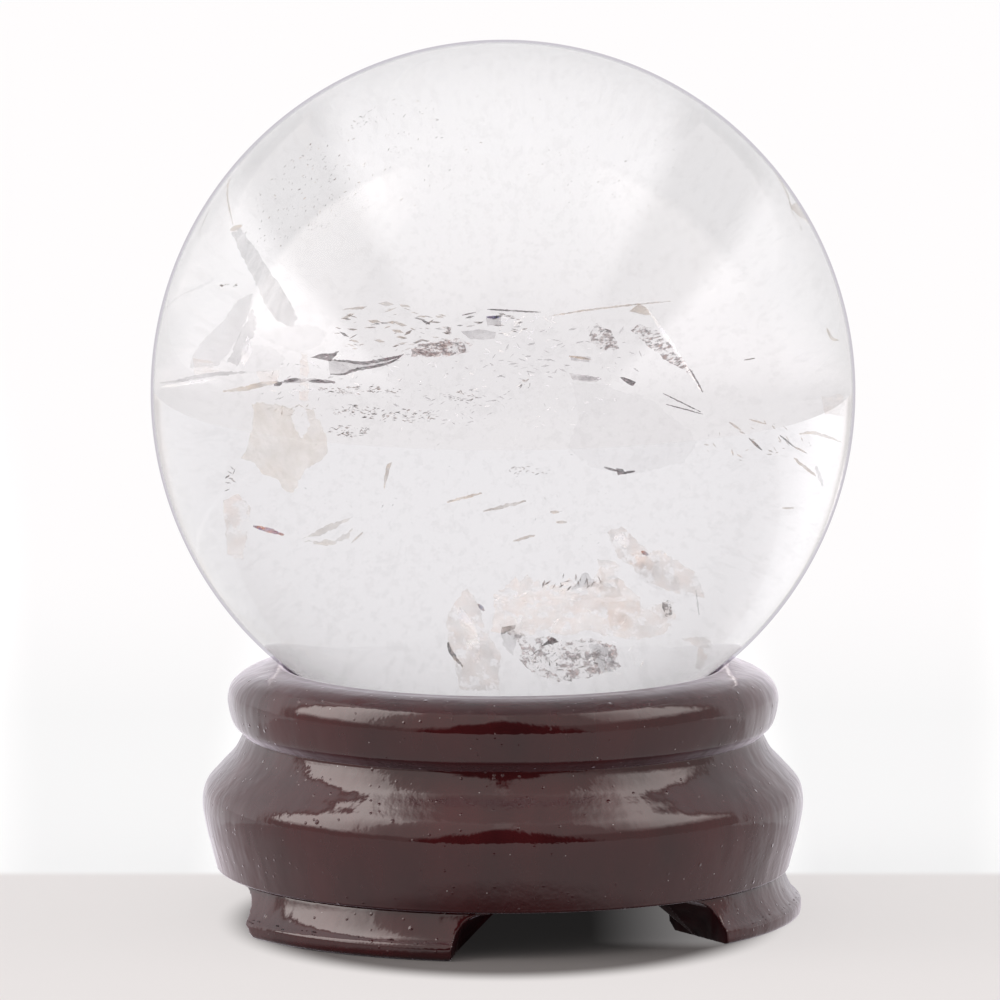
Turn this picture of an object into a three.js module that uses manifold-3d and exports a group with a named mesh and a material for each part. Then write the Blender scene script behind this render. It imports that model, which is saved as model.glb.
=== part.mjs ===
// A crystal ball resting on a turned and lacquered wooden stand.
// Millimetres, +Z up. The origin is on the table, under the centre of the ball, on the stand's turning axis.
// The stand is built up as a turner builds it: three feet sawn from one turned ring are glued under a bowl,
// and a rim ring with a rounded bead sits over a spigot on the bowl. The ball lies loose on the bead.
import * as THREE from "three";
import { mergeVertices } from "three/addons/utils/BufferGeometryUtils.js";
import Module from "manifold-3d";

const wasm = await Module();
wasm.setup();

// Ball
const BALL_RADIUS = 35;
const BALL_CENTRE_Z = 52.2;

// Stand, from the table up. Radii are measured from the turning axis.
const FOOT_RADIUS = 29.8;
const FOOT_INNER_RADIUS = 19.8;
const FOOT_HEIGHT = 4.6;
const FOOT_BAND_HEIGHT = 1.6;
const FOOT_TOP_RADIUS = 28.5;
const BELLY_RADIUS = 29.95;
const BELLY_BOTTOM_RADIUS = 28.6;
const BELLY_Z = 11.2;
const NECK_RADIUS = 26.25;
const NECK_Z = 17.5;
const RIM_JOINT_RADIUS = 26.35;
const RIM_JOINT_Z = 18.2;
const BEAD_RADIUS = 27.45;
const BEAD_Z = 21.2;
const CREST_RADIUS = 22.56;
const CREST_Z = 25.15;
const CREST_ROUNDING = 1;

// Hollows and hidden joints of the stand
const WELL_RADIUS = 20.5;
const DISH_BOTTOM_Z = 15.5;
const SPIGOT_RADIUS = 22.6;
const SPIGOT_TOP_Z = 19.6;
const GLUE_GAP = 0.25;
const UNDERSIDE_RECESS = 1.8;

// The arched gaps sawn between the feet: at the front a little to the right of the centre, at the back,
// and at the left. They are cut by hand, so they are not evenly spaced and not alike.
// angle: degrees from the front (-Y), positive to the right (+X)
// halfWidth: at the table, where the gap opens through the outside of the ring
// lean: how much each wall has come in at half height
// corner: how much further the rounded corner comes in at the top
// leftTaper, rightTaper: degrees by which each wall closes in towards the axis, seen from outside
const NOTCHES = [
  { angle: 19, halfWidth: 14.4, lean: 0.4, corner: 5, leftTaper: 26, rightTaper: 13 },
  { angle: 141, halfWidth: 14.4, lean: 0.8, corner: 4, leftTaper: 16, rightTaper: 20 },
  { angle: -88, halfWidth: 16, lean: 2.6, corner: 4.5, leftTaper: 18, rightTaper: 20 },
];
const NOTCH_OUTSIDE = 26; // how far out along the gap its half width is measured
const CUTTER_OVERRUN = 2;

const TURNED_SEGMENTS = 60;
const CURVE_STEPS = 3;

// Materials, one for each kind of surface
function quartz() {
  return new THREE.MeshPhysicalMaterial({
    color: 0xf7f7f9,
    roughness: 0.02,
    metalness: 0,
    transmission: 1,
    ior: 1.544,
    thickness: 2 * BALL_RADIUS,
  });
}

function lacqueredWood() {
  return new THREE.MeshStandardMaterial({ color: 0x3a1013, roughness: 0.12, metalness: 0 });
}

// A closed outline in the half plane (radius, height), drawn upwards on its outer side, turned about Z.
function turned(outline) {
  const geometry = new THREE.LatheGeometry(outline.getPoints(CURVE_STEPS), TURNED_SEGMENTS);
  return geometry.rotateX(Math.PI / 2);
}

function solidFrom(geometry) {
  const plain = geometry.clone();
  plain.deleteAttribute("normal");
  plain.deleteAttribute("uv");
  const merged = mergeVertices(plain, 1e-3);
  return new wasm.Manifold(
    new wasm.Mesh({
      numProp: 3,
      vertProperties: merged.attributes.position.array,
      triVerts: new Uint32Array(merged.index.array),
    }),
  );
}

function geometryFrom(solid) {
  const mesh = solid.getMesh();
  const geometry = new THREE.BufferGeometry();
  geometry.setAttribute("position", new THREE.BufferAttribute(mesh.vertProperties, 3));
  geometry.setIndex(new THREE.BufferAttribute(mesh.triVerts, 1));
  return geometry;
}

function ball() {
  const geometry = new THREE.SphereGeometry(BALL_RADIUS, 48, 32);
  const mesh = new THREE.Mesh(geometry.rotateX(Math.PI / 2), quartz());
  mesh.name = "crystal_ball";
  mesh.position.z = BALL_CENTRE_Z;
  return mesh;
}

// The rim ring: a rounded bead outside and on top, a plain well wall inside, and a rebate that drops
// over the bowl's spigot.
function rimRing() {
  const rebateRadius = SPIGOT_RADIUS + GLUE_GAP;
  const rebateZ = SPIGOT_TOP_Z + GLUE_GAP;
  const topCentreZ = CREST_Z - CREST_ROUNDING;
  const path = new THREE.Path();
  path.moveTo(rebateRadius, RIM_JOINT_Z);
  path.lineTo(RIM_JOINT_RADIUS, RIM_JOINT_Z);
  path.splineThru([
    new THREE.Vector2(27, 19.6),
    new THREE.Vector2(BEAD_RADIUS, BEAD_Z),
    new THREE.Vector2(27.2, 22.45),
    new THREE.Vector2(26.35, 23.5),
    new THREE.Vector2(24.6, 24.35),
    new THREE.Vector2(CREST_RADIUS + 0.5, CREST_Z - 0.15),
  ]);
  path.absarc(CREST_RADIUS, topCentreZ, CREST_ROUNDING, Math.PI / 2, Math.PI, false);
  path.lineTo(WELL_RADIUS, rebateZ);
  path.lineTo(rebateRadius, rebateZ);
  path.lineTo(rebateRadius, RIM_JOINT_Z);
  const mesh = new THREE.Mesh(turned(path), lacqueredWood());
  mesh.name = "rim_ring";
  return mesh;
}

// The bowl: a swelling belly with a waisted neck, a shallow dish under the ball with a spigot round it,
// and a turned recess in the underside.
function bowl() {
  const recessTop = FOOT_HEIGHT + UNDERSIDE_RECESS;
  const path = new THREE.Path();
  path.moveTo(0, recessTop);
  path.lineTo(FOOT_INNER_RADIUS, recessTop);
  path.lineTo(FOOT_INNER_RADIUS, FOOT_HEIGHT);
  path.lineTo(BELLY_BOTTOM_RADIUS, FOOT_HEIGHT);
  path.splineThru([
    new THREE.Vector2(29.05, 6.6),
    new THREE.Vector2(29.6, 8.8),
    new THREE.Vector2(BELLY_RADIUS, BELLY_Z),
    new THREE.Vector2(29.6, 13),
    new THREE.Vector2(28.3, 14.6),
    new THREE.Vector2(26.9, 16.1),
    new THREE.Vector2(NECK_RADIUS, NECK_Z),
    new THREE.Vector2(RIM_JOINT_RADIUS, RIM_JOINT_Z),
  ]);
  path.lineTo(SPIGOT_RADIUS, RIM_JOINT_Z);
  path.lineTo(SPIGOT_RADIUS, SPIGOT_TOP_Z);
  path.lineTo(WELL_RADIUS, SPIGOT_TOP_Z);
  path.bezierCurveTo(WELL_RADIUS - 3, 17.6, 10, DISH_BOTTOM_Z, 0, DISH_BOTTOM_Z);
  const mesh = new THREE.Mesh(turned(path), lacqueredWood());
  mesh.name = "bowl";
  return mesh;
}

// One ring: a low upright band at the table, and above it a shallow hollow moulding up to the bowl.
function footRing() {
  const path = new THREE.Path();
  path.moveTo(FOOT_INNER_RADIUS + 0.8, 0);
  path.lineTo(FOOT_RADIUS - 0.4, 0);
  path.lineTo(FOOT_RADIUS, 0.4);
  path.lineTo(FOOT_RADIUS, FOOT_BAND_HEIGHT - 0.2);
  path.lineTo(FOOT_RADIUS - 0.2, FOOT_BAND_HEIGHT);
  path.quadraticCurveTo(FOOT_TOP_RADIUS, 2.4, FOOT_TOP_RADIUS, FOOT_HEIGHT);
  path.lineTo(FOOT_INNER_RADIUS, FOOT_HEIGHT);
  path.lineTo(FOOT_INNER_RADIUS, 0.8);
  path.lineTo(FOOT_INNER_RADIUS + 0.8, 0);
  return solidFrom(turned(path));
}

// One side of a gap's arch, from the table to the top, as points (across, up).
function archSide({ halfWidth, lean, corner }) {
  const path = new THREE.Path();
  path.moveTo(halfWidth, -CUTTER_OVERRUN);
  path.lineTo(halfWidth, 0);
  path.lineTo(halfWidth - lean, FOOT_HEIGHT / 2);
  path.quadraticCurveTo(halfWidth - lean - 0.6, FOOT_HEIGHT, halfWidth - lean - corner, FOOT_HEIGHT);
  path.lineTo(halfWidth - lean - corner, FOOT_HEIGHT + CUTTER_OVERRUN);
  return path.getPoints(CURVE_STEPS);
}

// The saw's path through the ring: the arch, run outwards from near the axis and narrower towards it.
function notchCutter(notch) {
  const right = archSide(notch);
  const left = right.map((point) => new THREE.Vector2(-point.x, point.y)).reverse();
  const inside = FOOT_INNER_RADIUS / 2;
  const geometry = new THREE.ExtrudeGeometry(new THREE.Shape([...right, ...left]), {
    depth: FOOT_RADIUS + CUTTER_OVERRUN - inside,
    bevelEnabled: false,
  });
  geometry.translate(0, 0, inside);
  const position = geometry.getAttribute("position");
  for (let i = 0; i < position.count; i++) {
    const taper = position.getX(i) < 0 ? notch.leftTaper : notch.rightTaper;
    const inwards = NOTCH_OUTSIDE - position.getZ(i);
    const narrowing = (inwards * Math.tan(THREE.MathUtils.degToRad(taper))) / notch.halfWidth;
    position.setX(i, position.getX(i) * (1 - narrowing));
  }
  geometry.rotateX(Math.PI / 2); // the arch's upright becomes +Z, and its depth runs along -Y
  geometry.rotateZ(THREE.MathUtils.degToRad(notch.angle));
  return solidFrom(geometry);
}

// The direction of a solid's middle from the axis, in degrees from the front, positive to the right.
function directionOf(solid) {
  const { min, max } = solid.boundingBox();
  return THREE.MathUtils.radToDeg(Math.atan2(min[0] + max[0], -(min[1] + max[1])));
}

function feet() {
  let ring = footRing();
  for (const notch of NOTCHES) ring = ring.subtract(notchCutter(notch));
  const names = ["foot_back", "foot_left", "foot_right"]; // by direction: about -150, -35 and 80 degrees
  const pieces = ring.decompose();
  pieces.sort((a, b) => directionOf(a) - directionOf(b));
  return pieces.map((piece, i) => {
    const mesh = new THREE.Mesh(geometryFrom(piece), lacqueredWood());
    mesh.name = names[i];
    return mesh;
  });
}

const stand = new THREE.Group();
stand.add(rimRing(), bowl(), ...feet());

const crystalBall = new THREE.Group();
crystalBall.add(ball(), stand);

export default crystalBall;
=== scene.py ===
import math
import random

import bmesh
import bpy
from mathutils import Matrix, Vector, noise
from mathutils.geometry import delaunay_2d_cdt


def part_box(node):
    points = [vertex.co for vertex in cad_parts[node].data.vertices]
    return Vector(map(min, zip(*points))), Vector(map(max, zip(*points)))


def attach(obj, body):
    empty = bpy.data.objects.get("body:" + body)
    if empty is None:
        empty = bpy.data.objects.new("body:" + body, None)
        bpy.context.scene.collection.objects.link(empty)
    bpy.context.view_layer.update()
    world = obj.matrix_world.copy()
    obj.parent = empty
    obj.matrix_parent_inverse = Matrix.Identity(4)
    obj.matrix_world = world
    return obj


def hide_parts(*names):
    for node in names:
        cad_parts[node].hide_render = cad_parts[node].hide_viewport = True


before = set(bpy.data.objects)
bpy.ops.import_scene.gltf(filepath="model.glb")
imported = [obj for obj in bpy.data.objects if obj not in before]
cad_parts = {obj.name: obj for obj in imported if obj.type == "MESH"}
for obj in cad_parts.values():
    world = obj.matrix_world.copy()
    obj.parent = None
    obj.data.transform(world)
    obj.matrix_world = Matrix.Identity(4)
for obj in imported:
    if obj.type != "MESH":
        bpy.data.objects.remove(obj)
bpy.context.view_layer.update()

MM = 0.001


# ---------------------------------------------------------------- sizes, from the frame

def millimetres(corner):
    return Vector(corner) / MM


ball_low, ball_high = map(millimetres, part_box("crystal_ball"))
BALL_RADIUS = (ball_high.z - ball_low.z) / 2
BALL_CENTRE = (ball_low + ball_high) / 2
bowl_low, bowl_high = map(millimetres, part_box("bowl"))
BELLY_RADIUS = bowl_high.x
FOOT_HEIGHT = bowl_low.z
rim_low, rim_high = map(millimetres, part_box("rim_ring"))
RIM_JOINT_Z = rim_low.z
CREST_Z = rim_high.z
BEAD_RADIUS = rim_high.x

# The stand's hidden sizes and its feet, as the CAD parts have them
FOOT_RADIUS = 29.8
FOOT_INNER_RADIUS = 19.8
FOOT_TOP_RADIUS = 28.5
FOOT_BAND_HEIGHT = 1.6
CREASE_RADIUS = 25.92
CREST_RADIUS = 22.56
CREST_ROUNDING = 1.0
WELL_RADIUS = 20.5
SPIGOT_RADIUS = 22.6
SPIGOT_TOP_Z = 19.6
REBATE_RADIUS = 22.85
REBATE_Z = 19.85
DISH_BOTTOM_Z = 15.5
RECESS_Z = 6.4
NOTCH_OUTSIDE = 26.0
NOTCHES = {
    "front": {"angle": 19, "half": 14.4, "lean": 0.4, "corner": 5, "left": 26, "right": 13},
    "rear": {"angle": 141, "half": 14.4, "lean": 0.8, "corner": 4, "left": 16, "right": 20},
    "side": {"angle": -88, "half": 16.0, "lean": 2.6, "corner": 4.5, "left": 18, "right": 20},
}

QUARTZ_IOR = 1.544
QUARTZ_TINT = (0.832, 0.821, 0.832, 1)
# painted shade: where and how grey the ball's dark outline is drawn
SHADED_RIM_FACING = (0.84, 0.90)
SHADED_RIM_TINT = (0.78, 0.77, 0.80, 1)
CAMERA_PLACE = Vector((-0.3, -1120, 196))
CAMERA_TARGET = Vector((-0.3, 0, 41.385))
CAMERA_LENS = 409.1


# ---------------------------------------------------------------- small helpers

def material(name):
    made = bpy.data.materials.new(name)
    made.use_nodes = True
    tree = made.node_tree
    tree.nodes.clear()
    output = tree.nodes.new("ShaderNodeOutputMaterial")
    return made, tree, output


def node(tree, kind, inputs=(), **settings):
    made = tree.nodes.new("ShaderNode" + kind)
    for key, value in settings.items():
        setattr(made, key, value)
    for key, value in dict(inputs).items():
        if isinstance(value, bpy.types.NodeSocket):
            tree.links.new(value, socket(made.inputs, key))
        else:
            socket(made.inputs, key).default_value = value
    return made


def ramp(tree, factor, stops, interpolation="LINEAR"):
    made = node(tree, "ValToRGB", {"Fac": factor})
    made.color_ramp.interpolation = interpolation
    elements = made.color_ramp.elements
    while len(elements) < len(stops):
        elements.new(0.5)
    for element, (position, colour) in zip(elements, stops):
        element.position = position
        element.color = (*colour, 1) if len(colour) == 3 else colour
    return made.outputs["Color"]


def grey(value):
    return (value, value, value)


def socket(sockets, key):
    """The enabled socket of that name; a Mix node has one of each name for every kind of data."""
    if isinstance(key, int):
        return sockets[key]
    return next(s for s in sockets if s.name == key and s.enabled)


def smooth_step(tree, value, start, end, low=0.0, high=1.0):
    made = node(tree, "MapRange", {"Value": value, "From Min": start, "From Max": end,
                                   "To Min": low, "To Max": high}, interpolation_type="SMOOTHSTEP")
    return made.outputs["Result"]


def maths(tree, operation, a, b=0.0):
    return node(tree, "Math", {0: a, 1: b}, operation=operation).outputs[0]


def window(tree, value, start, end, soft):
    """1 between start and end, falling to 0 over soft outside them."""
    rise = smooth_step(tree, value, start - soft, start)
    fall = smooth_step(tree, value, end, end + soft, 1.0, 0.0)
    return maths(tree, "MULTIPLY", rise, fall)


def mixed(tree, factor, a, b, data_type="RGBA"):
    made = node(tree, "Mix", {"Factor": factor, "A": a, "B": b}, data_type=data_type)
    return socket(made.outputs, "Result")


def linked(name, data):
    """A new object with that mesh or camera, in the scene."""
    made = bpy.data.objects.new(name, data)
    bpy.context.scene.collection.objects.link(made)
    return made


def new_object(name, vertices, faces, surface, smooth=True):
    mesh = bpy.data.meshes.new(name)
    mesh.from_pydata([tuple(MM * c for c in v) for v in vertices], [], faces)
    mesh.validate()
    mesh.polygons.foreach_set("use_smooth", [smooth] * len(mesh.polygons))
    mesh.materials.append(surface)
    return linked(name, mesh)


def apply_modifier(piece, kind, **settings):
    modifier = piece.modifiers.new(kind, kind)
    for key, value in settings.items():
        setattr(modifier, key, value)
    graph = bpy.context.evaluated_depsgraph_get()
    mesh = bpy.data.meshes.new_from_object(piece.evaluated_get(graph))
    piece.modifiers.clear()
    piece.data = mesh


# ---------------------------------------------------------------- camera, floor and light

def make_camera():
    data = bpy.data.cameras.new("camera")
    data.lens = CAMERA_LENS
    data.clip_start = 0.1
    data.clip_end = 50
    camera = linked("camera", data)
    camera.location = CAMERA_PLACE * MM
    camera.rotation_euler = (CAMERA_TARGET - CAMERA_PLACE).to_track_quat("-Z", "Y").to_euler()
    bpy.context.scene.camera = camera


# The floor's pattern, in metres: the edge of the nearer table, and the ellipse of shade under the stand
TABLE_EDGE = (0.0195, 0.0235)
TABLE_COLOUR = (0.835, 0.805, 0.80, 1)
TABLE_LIGHT = 0.765
TABLE_REFLECTANCE = 0.15
TABLE_HALF_SIZE = 3000
SHADE_CENTRE = (0, -0.0055, 0)
SHADE_HALF_WIDTH = 0.0248
SHADE_HALF_DEPTH = 0.0305
GAP_LIGHT = 0.45


def make_floor():
    """A pale table, whiter beyond the stand. Most of its light is even, and is shut out under the stand."""
    surface, tree, output = material("studio_floor")
    place = node(tree, "NewGeometry").outputs["Position"]
    parts = node(tree, "SeparateXYZ", {"Vector": place})
    edge = smooth_step(tree, parts.outputs["Y"], *TABLE_EDGE)
    far = smooth_step(tree, parts.outputs["Y"], 0.02, 0.25)
    whites = [(0, (0.955, 0.96, 0.965)), (0.45, (0.95, 0.955, 0.96)), (1, (1.012, 1.005, 1.012))]
    beyond = ramp(tree, far, whites)
    # brighter behind the ball, which throws its light there, and toward the lamps at both sides
    sideways = maths(tree, "ABSOLUTE", parts.outputs["X"])
    strip = smooth_step(tree, sideways, 0.024, 0.033, 0.24, 0.0)
    strip = maths(tree, "MULTIPLY", strip, smooth_step(tree, parts.outputs["Y"], 0.07, 0.25, 1.0, 0.0))
    widening = maths(tree, "MULTIPLY", parts.outputs["Y"], 0.045)
    sides = smooth_step(tree, maths(tree, "SUBTRACT", sideways, widening), 0.045, 0.058, 1.0, 1.21)
    fading = smooth_step(tree, parts.outputs["Y"], 0.12, 0.5, 1.0, 0.0)
    sides = maths(tree, "POWER", sides, fading)
    gain = maths(tree, "ADD", sides, strip)
    beyond = node(tree, "VectorMath", {0: beyond, "Scale": gain}, operation="SCALE").outputs[0]
    tint = mixed(tree, edge, TABLE_COLOUR, beyond)
    # the ellipse of shade under the stand, and the light that comes in through the gap at the back
    offset = node(tree, "VectorMath", {0: place, 1: SHADE_CENTRE}, operation="SUBTRACT").outputs[0]
    squeeze = (1 / SHADE_HALF_WIDTH, 1 / SHADE_HALF_DEPTH, 0)
    squeezed = node(tree, "VectorMath", {0: offset, 1: squeeze}, operation="MULTIPLY")
    reach = node(tree, "VectorMath", {0: squeezed.outputs[0]}, operation="LENGTH").outputs["Value"]
    open_floor = smooth_step(tree, reach, 0.93, 1.16)
    across = smooth_step(tree, parts.outputs["X"], 0.006, 0.027)
    back = smooth_step(tree, parts.outputs["Y"], -0.023, -0.017)
    gap = maths(tree, "MULTIPLY", maths(tree, "MULTIPLY", across, back), GAP_LIGHT)
    lit = maths(tree, "MAXIMUM", maths(tree, "MAXIMUM", open_floor, gap), 0.02)
    light = node(tree, "Emission", {"Color": tint, "Strength": maths(tree, "MULTIPLY", lit, TABLE_LIGHT)})
    shade = node(tree, "VectorMath", {0: tint, "Scale": TABLE_REFLECTANCE}, operation="SCALE").outputs[0]
    diffuse = node(tree, "BsdfDiffuse", {"Color": shade})
    both = node(tree, "AddShader", {0: diffuse.outputs[0], 1: light.outputs[0]})
    tree.links.new(both.outputs[0], output.inputs["Surface"])
    half = TABLE_HALF_SIZE
    corners = [(-half, -half, 0), (half, -half, 0), (half, half, 0), (-half, half, 0)]
    floor = new_object("studio_floor", corners, [(0, 1, 2, 3)], surface, smooth=False)


# The light tent as the object sees it. Angles in degrees: azimuth from the camera's side, positive to the
# right, and elevation above the floor. Each panel has its azimuths, its elevations, how softly each ends,
# and how bright it is.
PANELS = [
    {"azimuth": (-97, -60), "fade": 5, "elevation": (18, 58), "soft": 8, "light": 2.5},
    {"azimuth": (-97, 0), "fade": 6, "elevation": (14, 64), "soft": 7, "light": 1.5},
    {"azimuth": (48, 94), "fade": 5, "elevation": (32, 58), "soft": 9, "light": 1.6},
    {"azimuth": (0, 98), "fade": 5, "elevation": (25, 64), "soft": 7, "light": 1.1},
]
WALL_LIGHT = 1.02
LEFT_WALL_LIGHT = 1.5
RIGHT_WALL_LIGHT = 1.15
CEILING_LIGHT = 1.0
ROOM_LIGHT = 0.05
LINING_LIGHT = 0.6


def make_world():
    world = bpy.data.worlds.new("studio")
    bpy.context.scene.world = world
    world.use_nodes = True
    tree = world.node_tree
    tree.nodes.clear()
    output = tree.nodes.new("ShaderNodeOutputWorld")
    direction = node(tree, "TexCoord").outputs["Generated"]
    parts = node(tree, "SeparateXYZ", {"Vector": direction})
    toward = maths(tree, "MULTIPLY", parts.outputs["Y"], -1.0)
    azimuth = maths(tree, "ARCTAN2", parts.outputs["X"], toward)
    azimuth = maths(tree, "DEGREES", azimuth)
    turned = maths(tree, "ABSOLUTE", azimuth)
    elevation = maths(tree, "ARCSINE", parts.outputs["Z"])
    elevation = maths(tree, "DEGREES", elevation)

    # walls behind and at the sides, dimmer with height
    wall = smooth_step(tree, turned, 101, 108)
    left = smooth_step(tree, azimuth, -146, -112, WALL_LIGHT, LEFT_WALL_LIGHT)
    right = smooth_step(tree, azimuth, 107, 140, RIGHT_WALL_LIGHT, WALL_LIGHT)
    which = maths(tree, "GREATER_THAN", azimuth, 0.0)
    light = mixed(tree, which, left, right, "FLOAT")
    dimmer = smooth_step(tree, elevation, 5, 60, 1.0, 0.88)
    total = maths(tree, "MULTIPLY", maths(tree, "MULTIPLY", wall, light), dimmer)
    # the open front of the tent, which narrows upward, with a dim room beyond it
    front = maths(tree, "SUBTRACT", 1.0, wall)
    low = smooth_step(tree, elevation, -3, 1, 0.8, 0.0)
    lean = maths(tree, "MULTIPLY", elevation, 0.75)
    lining = smooth_step(tree, maths(tree, "ADD", turned, lean), 32, 42)
    lined = maths(tree, "MULTIPLY", lining, LINING_LIGHT)
    room = maths(tree, "ADD", maths(tree, "ADD", ROOM_LIGHT, low), lined)
    total = maths(tree, "ADD", total, maths(tree, "MULTIPLY", front, room))
    ceiling = smooth_step(tree, elevation, 58, 68, 0.0, CEILING_LIGHT)
    total = maths(tree, "MAXIMUM", total, ceiling)
    # the panels grow dimmer toward the camera
    nearer_side = smooth_step(tree, turned, 40, 84, 0.34, 1.14)
    for panel in PANELS:
        across = window(tree, azimuth, *panel["azimuth"], panel["fade"])
        up = window(tree, elevation, *panel["elevation"], panel["soft"])
        shape = maths(tree, "MULTIPLY", maths(tree, "MULTIPLY", across, up), lining)
        shape = maths(tree, "MULTIPLY", shape, nearer_side)
        total = maths(tree, "ADD", total, maths(tree, "MULTIPLY", shape, panel["light"]))
    warmth = smooth_step(tree, turned, 100, 112)
    tint = ramp(tree, warmth, [(0, (1.0, 0.93, 0.90)), (1, (1.0, 0.99, 1.0))])
    background = node(tree, "Background", {"Color": tint, "Strength": total})
    tree.links.new(background.outputs[0], output.inputs["Surface"])


# ---------------------------------------------------------------- lacquer

DUST_COLOUR = (0.45, 0.43, 0.43, 1)


def dust_height(tree, place, scale, share, size):
    """Rounded specks, on about that share of cells of 1 / scale metres."""
    cells = node(tree, "TexVoronoi", {"Vector": place, "Scale": scale, "Randomness": 1.0})
    rounded = ramp(tree, cells.outputs["Distance"], [(0.0, grey(1)), (size, grey(0))], "EASE")
    picked = node(tree, "SeparateColor", {"Color": cells.outputs["Color"]}).outputs["Red"]
    few = ramp(tree, picked, [(1 - share, grey(0)), (1 - share + 0.01, grey(1))])
    return maths(tree, "MULTIPLY", rounded, few)


def raised(tree, height, distance, normal=None):
    inputs = {"Strength": 1.0, "Distance": distance, "Height": height}
    if normal is not None:
        inputs["Normal"] = normal
    return node(tree, "Bump", inputs).outputs[0]


def lacquer_material(raw_and_shaded=False):
    """The lacquer. With the flag set, it is the thin, rough coat on the walls of the gaps between the feet,
    whose darker red and weak gloss also paint the shade on those end walls.
    """
    made, tree, output = material("gap_lacquer_painted_shade" if raw_and_shaded else "lacquered_wood")
    place = node(tree, "TexCoord").outputs["Object"]
    drips = node(tree, "Mapping", {"Vector": place, "Scale": (1, 1, 0.45)}).outputs["Vector"]
    cloud = node(tree, "TexNoise", {"Vector": drips, "Scale": 150, "Detail": 3, "Roughness": 0.55})
    reds = [(0.3, (0.024, 0.0022, 0.0030)), (0.75, (0.050, 0.0046, 0.0058))]
    # painted shade: the gap walls' darker reds stand in for the shade on the sawn end walls
    if raw_and_shaded:
        reds = [(0.4, (0.006, 0.002, 0.003)), (0.7, (0.040, 0.004, 0.006))]
    tint = ramp(tree, cloud.outputs["Fac"], reds)
    # pale specks of dust on the lacquer
    specks = dust_height(tree, place, 1300, 0.12, 0.12)
    tint = mixed(tree, specks, tint, DUST_COLOUR)
    # waves left by the brush, runs down the sides, finer ripples in places, and dust under the last coat
    wave = node(tree, "TexNoise", {"Vector": drips, "Scale": 420, "Detail": 2, "Roughness": 0.5})
    long_runs = node(tree, "Mapping", {"Vector": place, "Scale": (1, 1, 0.3)}).outputs["Vector"]
    runs = node(tree, "TexNoise", {"Vector": long_runs, "Scale": 640, "Detail": 1})
    ripple = node(tree, "TexNoise", {"Vector": place, "Scale": 2100, "Detail": 1})
    patches = node(tree, "TexNoise", {"Vector": place, "Scale": 110, "Detail": 1})
    rough = ramp(tree, patches.outputs["Fac"], [(0.40, grey(0.25)), (0.62, grey(1.0))])
    rippled = maths(tree, "MULTIPLY", ripple.outputs["Fac"], rough)
    parts = node(tree, "SeparateXYZ", {"Vector": place})
    sideways = maths(tree, "ABSOLUTE", parts.outputs["X"])
    at_sides = smooth_step(tree, sideways, 0.019, 0.027)
    run_down = maths(tree, "MULTIPLY", runs.outputs["Fac"], at_sides)
    normal = raised(tree, wave.outputs["Fac"], 0.00006)
    normal = raised(tree, run_down, 0.00007, normal)
    normal = raised(tree, rippled, 0.000020, normal)
    normal = raised(tree, dust_height(tree, place, 560, 0.26, 0.16), 0.00009, normal)
    normal = raised(tree, dust_height(tree, place, 1250, 0.22, 0.24), 0.00005, normal)
    if raw_and_shaded:
        normal = raised(tree, cloud.outputs["Fac"], 0.0008, normal)
    # on the gap walls, the low IOR and missing sheen dim the gloss, which is also part of their painted
    # shade
    shader = node(tree, "BsdfPrincipled", {
        "Base Color": tint, "Normal": normal,
        "Roughness": 0.5 if raw_and_shaded else 0.05, "IOR": 1.2 if raw_and_shaded else 1.54,
        "Sheen Weight": 0.0 if raw_and_shaded else 1.0, "Sheen Roughness": 0.3, "Sheen Tint": (0.92, 0.87, 1.0, 1)})
    tree.links.new(shader.outputs[0], output.inputs["Surface"])
    return made


# ---------------------------------------------------------------- the turned parts of the stand

def spline(points, steps):
    """A smooth curve through the points, without its first point."""
    made = []
    last = len(points) - 1
    for i in range(last):
        before, a = points[max(i - 1, 0)], points[i]
        b, after = points[i + 1], points[min(i + 2, last)]
        for step in range(1, steps + 1):
            t = step / steps
            made.append(tuple(
                0.5 * (2 * q + (r - p) * t + (2 * p - 5 * q + 4 * r - s) * t * t
                       + (3 * q - p - 3 * r + s) * t ** 3)
                for p, q, r, s in zip(before, a, b, after)
            ))
    return made


def arc(centre, radius, start, end, steps):
    return [
        (centre[0] + radius * math.cos(math.radians(start + (end - start) * i / steps)),
         centre[1] + radius * math.sin(math.radians(start + (end - start) * i / steps)))
        for i in range(steps + 1)
    ]


def rim_outline(fullness):
    """The bead's section; fullness 1 is the front, where the lacquer has run down and stands proud."""
    def mix(side, front):
        return tuple(a + fullness * (b - a) for a, b in zip(side, front))

    outer = spline([
        (CREASE_RADIUS, RIM_JOINT_Z + 0.05),
        mix((26.25, 18.5), (26.25, 18.55)), mix((26.75, 19.0), (26.85, 19.15)),
        mix((27.15, 19.8), (27.15, 20.0)), mix((BEAD_RADIUS, 21.2), (BEAD_RADIUS - 0.05, 21.4)),
        mix((27.35, 22.2), (27.42, 22.3)), mix((26.95, 23.0), (27.15, 23.3)),
        mix((26.2, 23.65), (26.5, 24.2)), mix((25.3, 24.1), (25.4, 24.8)),
        mix((24.3, 24.45), (24.2, 25.05)), mix((23.4, 24.85), (23.2, 25.1)),
        (CREST_RADIUS, CREST_Z - 0.02),
    ], 6)
    crest = arc((CREST_RADIUS, CREST_Z - CREST_ROUNDING - 0.02), CREST_ROUNDING, 97, 180, 8)
    inner = [(WELL_RADIUS + 0.5, 22), (WELL_RADIUS, REBATE_Z), (REBATE_RADIUS, REBATE_Z),
             (REBATE_RADIUS, RIM_JOINT_Z)]
    return [(CREASE_RADIUS, RIM_JOINT_Z)] + outer + crest + inner


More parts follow.
